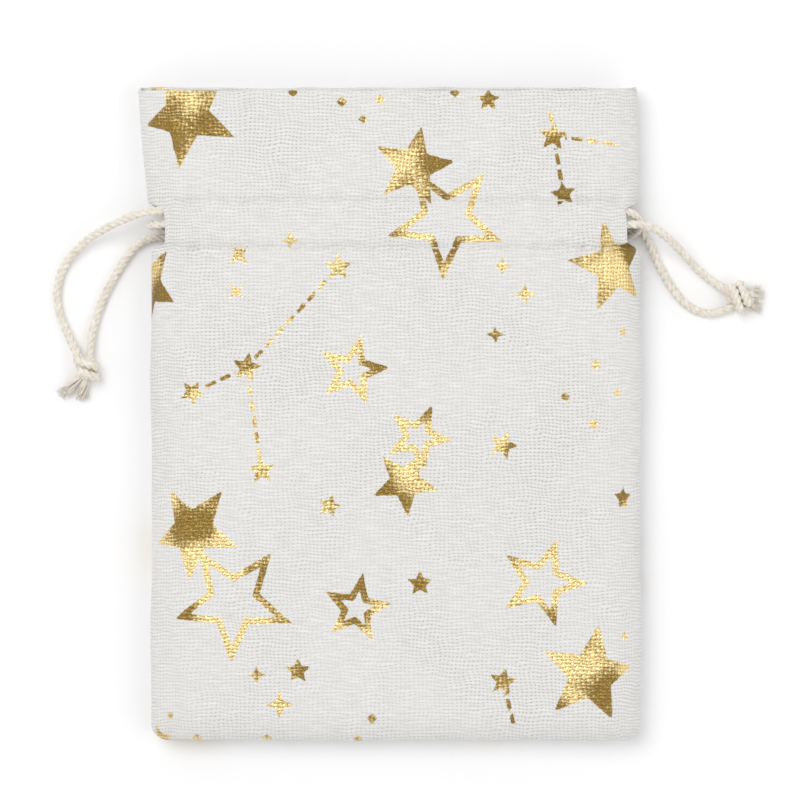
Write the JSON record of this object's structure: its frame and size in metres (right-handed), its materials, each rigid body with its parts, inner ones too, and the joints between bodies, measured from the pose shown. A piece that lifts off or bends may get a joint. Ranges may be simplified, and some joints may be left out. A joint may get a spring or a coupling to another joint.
{
  "type": "fabric gift sack",
  "caption": "Flat cotton drawstring pouch with a tall header, a stitched channel and a knotted pull cord at each side.",
  "frame": {"origin": "centre of the sack's footprint, on the surface that it lies on", "axes": "+Z out of the front cloth, +Y towards the mouth, +X to the right seen from the front"},
  "size_m": [0.1475, 0.134, 0.0105],
  "materials": {
    "cotton_cloth": "coarse plain weave, matte",
    "cotton_cord": "twisted, matte",
    "sewing_thread": "matte"
  },
  "bodies": {
    "sack": {"front_panel": "cotton_cloth", "back_panel": "cotton_cloth", "front_neck": "cotton_cloth", "back_neck": "cotton_cloth", "front_facing": "cotton_cloth", "back_facing": "cotton_cloth", "left_side_seam": "cotton_cloth", "right_side_seam": "cotton_cloth", "bottom_seam": "cotton_cloth", "left_side_stitching": "sewing_thread", "right_side_stitching": "sewing_thread", "bottom_stitching": "sewing_thread", "front_channel_upper_stitching": "sewing_thread", "front_channel_lower_stitching": "sewing_thread", "back_channel_upper_stitching": "sewing_thread", "back_channel_lower_stitching": "sewing_thread"},
    "left_cord": {"left_cord_channel_run": "cotton_cord", "left_cord_upper_strand": "cotton_cord", "left_cord_lower_strand": "cotton_cord", "left_cord_knot": "cotton_cord", "left_cord_first_tail": "cotton_cord", "left_cord_second_tail": "cotton_cord"},
    "right_cord": {"right_cord_channel_run": "cotton_cord", "right_cord_upper_strand": "cotton_cord", "right_cord_lower_strand": "cotton_cord", "right_cord_knot": "cotton_cord", "right_cord_first_tail": "cotton_cord", "right_cord_second_tail": "cotton_cord"},
    "left_neck": {"left_neck_seam": "cotton_cloth", "left_neck_stitching": "sewing_thread"},
    "right_neck": {"right_neck_seam": "cotton_cloth", "right_neck_stitching": "sewing_thread"}
  },
  "joints": [
    {"name": "left_cord_pull", "type": "slide", "parent": "sack", "child": "left_cord", "axis": [-1, 0, 0], "range_m": [0, 0.034]},
    {"name": "right_cord_pull", "type": "slide", "parent": "sack", "child": "right_cord", "axis": [1, 0, 0], "range_m": [0, 0.034]},
    {"name": "right_neck_gather", "type": "slide", "parent": "sack", "child": "right_neck", "axis": [-1, 0, 0], "range_m": [0, 0.034], "deforming": ["front_neck", "back_neck", "front_facing", "back_facing", "front_channel_upper_stitching", "front_channel_lower_stitching", "back_channel_upper_stitching", "back_channel_lower_stitching"]},
    {"name": "left_neck_gather", "type": "slide", "parent": "sack", "child": "left_neck", "axis": [1, 0, 0], "range_m": [0, 0.034], "deforming": ["front_neck", "back_neck", "front_facing", "back_facing", "front_channel_upper_stitching", "front_channel_lower_stitching", "back_channel_upper_stitching", "back_channel_lower_stitching"]}
  ],
  "couplings": [
    {"joint": "right_neck_gather", "follows": "left_cord_pull", "ratio": 1},
    {"joint": "left_neck_gather", "follows": "right_cord_pull", "ratio": 1}
  ]
}
